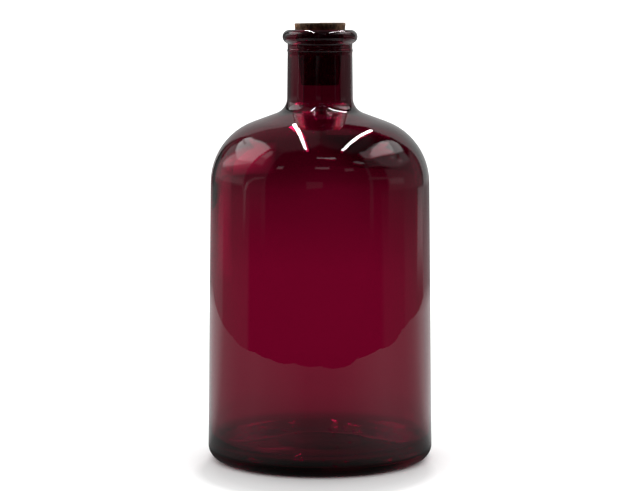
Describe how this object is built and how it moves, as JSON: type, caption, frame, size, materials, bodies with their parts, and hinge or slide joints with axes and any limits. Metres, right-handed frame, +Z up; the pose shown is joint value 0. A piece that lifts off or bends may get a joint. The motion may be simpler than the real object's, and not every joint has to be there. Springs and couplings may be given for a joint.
{
  "type": "decorative glass bottle",
  "caption": "Corked bottle of clear deep red glass: tall straight body, rounded shoulder, short neck with a ring lip, and a tapered cork standing in the mouth.",
  "frame": {"origin": "centre of the foot ring, in the plane that the bottle stands on", "axes": "+Z up along the bottle's axis, out of its mouth; +X and +Y are alike"},
  "size_m": [0.14, 0.14, 0.2715],
  "materials": {
    "red_glass": "smooth clear glass, deep wine red in the mass",
    "cork": "dry, fine-grained tan cork with darker specks"
  },
  "bodies": {
    "root": {"glass_bottle": "red_glass", "cork_stopper": "cork"}
  },
  "joints": []
}
